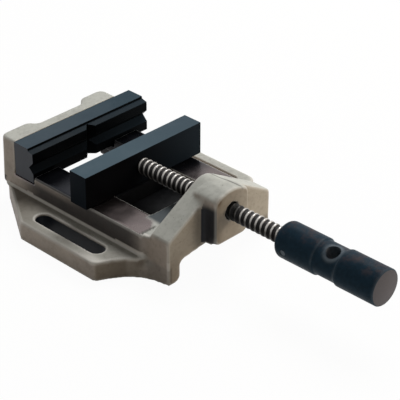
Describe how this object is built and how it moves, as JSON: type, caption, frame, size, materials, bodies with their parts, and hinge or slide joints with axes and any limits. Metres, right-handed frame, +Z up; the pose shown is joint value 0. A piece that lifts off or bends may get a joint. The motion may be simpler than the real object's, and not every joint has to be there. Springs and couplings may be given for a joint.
{
  "type": "drill press machine vise",
  "caption": "Low cast machine vise with slotted side flanges, a V-grooved fixed jaw, a sliding jaw bar and a screw with a barrel handle.",
  "frame": {"origin": "centre of the bounding box in plan, on the plane that the vise stands on", "axes": "+Z up, +Y along the spindle from the handle to the fixed jaw, +X to the right seen from the handle"},
  "size_m": [0.1562, 0.3072, 0.0593],
  "materials": {
    "plated_casting": "pale nickel grey plated casting, satin",
    "blued_jaw_steel": "blue-black oxide on milled steel",
    "dark_steel": "dark oiled steel",
    "black_screws": "black oxide screws",
    "pin_steel": "plain steel pins",
    "bright_screw_steel": "bright turned screw thread",
    "browned_steel": "browned blue-black turned steel"
  },
  "bodies": {
    "base": {"base_casting": "plated_casting", "fixed_jaw_plate": "blued_jaw_steel", "fixed_jaw_screw_left": "black_screws", "fixed_jaw_screw_right": "black_screws", "fixed_jaw_washer_left": "black_screws", "fixed_jaw_washer_right": "black_screws", "spindle_nut": "dark_steel", "nut_lock_screw": "black_screws"},
    "moving_jaw": {"moving_jaw_bar": "blued_jaw_steel", "jaw_carriage": "dark_steel", "keeper_plate": "dark_steel", "jaw_screw_left": "black_screws", "jaw_screw_right": "black_screws", "keeper_screw_1": "black_screws", "keeper_screw_2": "black_screws", "keeper_screw_3": "black_screws", "keeper_screw_4": "black_screws", "spindle_pin_left": "pin_steel", "spindle_pin_right": "pin_steel"},
    "screw": {"spindle": "bright_screw_steel", "handle_barrel": "browned_steel", "handle_pin": "pin_steel"}
  },
  "joints": [
    {"name": "jaw_slide", "type": "slide", "parent": "base", "child": "moving_jaw", "axis": [0, 1, 0], "range_m": [-0.031, 0.0434]},
    {"name": "screw_turn", "type": "hinge", "parent": "moving_jaw", "child": "screw", "pos_m": [0, 0.0592, 0.0432], "axis": [0, 1, 0], "range_deg": [-2481, 3473]}
  ],
  "couplings": [
    {"joint": "screw_turn", "follows": "jaw_slide", "rad_per_m": 1396.3}
  ]
}
